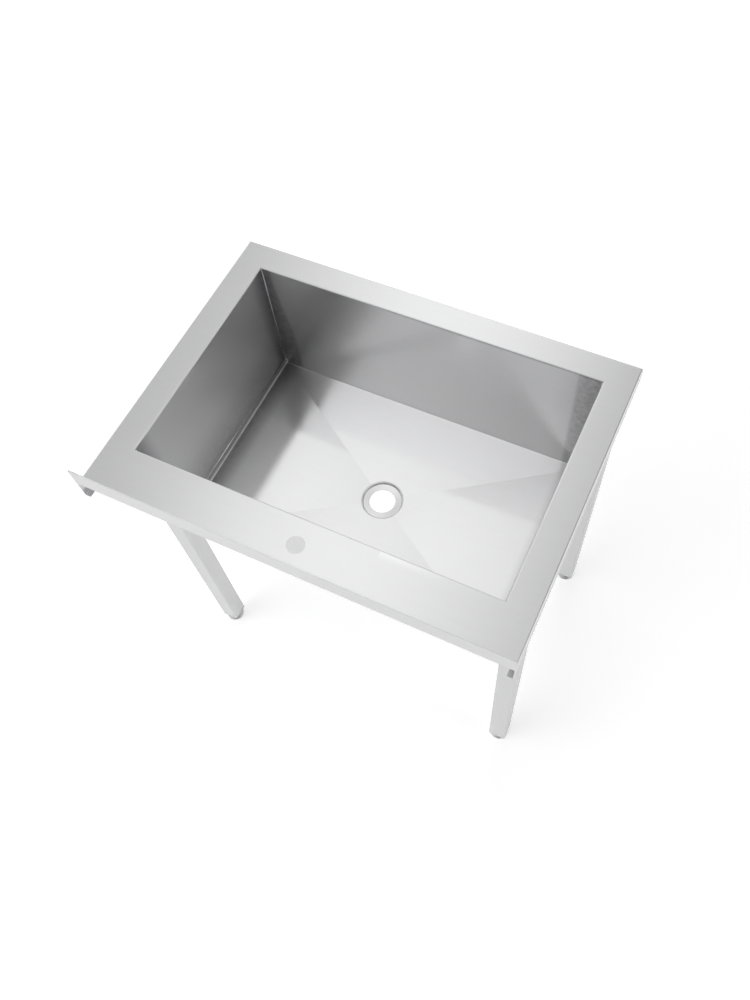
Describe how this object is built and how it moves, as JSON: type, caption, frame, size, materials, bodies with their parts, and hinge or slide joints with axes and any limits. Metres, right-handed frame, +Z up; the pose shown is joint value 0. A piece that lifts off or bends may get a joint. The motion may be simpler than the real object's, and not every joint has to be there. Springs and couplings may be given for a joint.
{
  "type": "utility laundry sink",
  "caption": "Free-standing stainless utility sink: folded deck with rear upstand and tap hole, deep welded bowl with creased floor, square legs on screw-adjustable feet.",
  "frame": {"origin": "on the floor, under the middle of the deck", "axes": "+Z up, front of the sink faces -Y, rear upstand on the +Y side, +X to the right seen from the front"},
  "size_m": [0.8, 0.6, 0.893],
  "materials": {
    "sheet": "fine brushed",
    "bowl_sheet": "fine brushed",
    "socket": "mill",
    "leg_tube": "satin",
    "screw": "bright",
    "insert": "moulded",
    "foot": "bright turned"
  },
  "bodies": {
    "sink": {"deck": "sheet", "bowl_wrap": "bowl_sheet", "bowl_end_left": "bowl_sheet", "bowl_end_right": "bowl_sheet", "waste_outlet": "bowl_sheet", "leg_socket_front_left": "socket", "leg_socket_front_right": "socket", "leg_socket_rear_left": "socket", "leg_socket_rear_right": "socket", "leg_front_left": "leg_tube", "leg_front_right": "leg_tube", "leg_rear_left": "leg_tube", "leg_rear_right": "leg_tube", "leg_screws": "screw", "foot_insert_front_left": "insert", "foot_insert_front_right": "insert", "foot_insert_rear_left": "insert", "foot_insert_rear_right": "insert"},
    "base_front_left": {"foot_pad_front_left": "foot"},
    "base_front_right": {"foot_pad_front_right": "foot"},
    "base_rear_left": {"foot_pad_rear_left": "foot"},
    "base_rear_right": {"foot_pad_rear_right": "foot"},
    "stem_front_left": {"foot_stem_front_left": "foot"},
    "stem_front_right": {"foot_stem_front_right": "foot"},
    "stem_rear_left": {"foot_stem_rear_left": "foot"},
    "stem_rear_right": {"foot_stem_rear_right": "foot"}
  },
  "joints": [
    {"name": "foot_slide_front_left", "type": "slide", "parent": "sink", "child": "base_front_left", "axis": [0, 0, -1], "range_m": [0, 0.025]},
    {"name": "foot_slide_front_right", "type": "slide", "parent": "sink", "child": "base_front_right", "axis": [0, 0, -1], "range_m": [0, 0.025]},
    {"name": "foot_slide_rear_left", "type": "slide", "parent": "sink", "child": "base_rear_left", "axis": [0, 0, -1], "range_m": [0, 0.025]},
    {"name": "foot_slide_rear_right", "type": "slide", "parent": "sink", "child": "base_rear_right", "axis": [0, 0, -1], "range_m": [0, 0.025]},
    {"name": "stem_turn_front_left", "type": "hinge", "parent": "base_front_left", "child": "stem_front_left", "pos_m": [-0.368, -0.267, 0.009], "axis": [0, 0, -1], "range_deg": [0, 5142.9]},
    {"name": "stem_turn_front_right", "type": "hinge", "parent": "base_front_right", "child": "stem_front_right", "pos_m": [0.368, -0.267, 0.009], "axis": [0, 0, -1], "range_deg": [0, 5142.9]},
    {"name": "stem_turn_rear_left", "type": "hinge", "parent": "base_rear_left", "child": "stem_rear_left", "pos_m": [-0.368, 0.184, 0.009], "axis": [0, 0, -1], "range_deg": [0, 5142.9]},
    {"name": "stem_turn_rear_right", "type": "hinge", "parent": "base_rear_right", "child": "stem_rear_right", "pos_m": [0.368, 0.184, 0.009], "axis": [0, 0, -1], "range_deg": [0, 5142.9]}
  ],
  "couplings": [
    {"joint": "stem_turn_front_left", "follows": "foot_slide_front_left", "rad_per_m": 3590.4},
    {"joint": "stem_turn_front_right", "follows": "foot_slide_front_right", "rad_per_m": 3590.4},
    {"joint": "stem_turn_rear_left", "follows": "foot_slide_rear_left", "rad_per_m": 3590.4},
    {"joint": "stem_turn_rear_right", "follows": "foot_slide_rear_right", "rad_per_m": 3590.4}
  ]
}
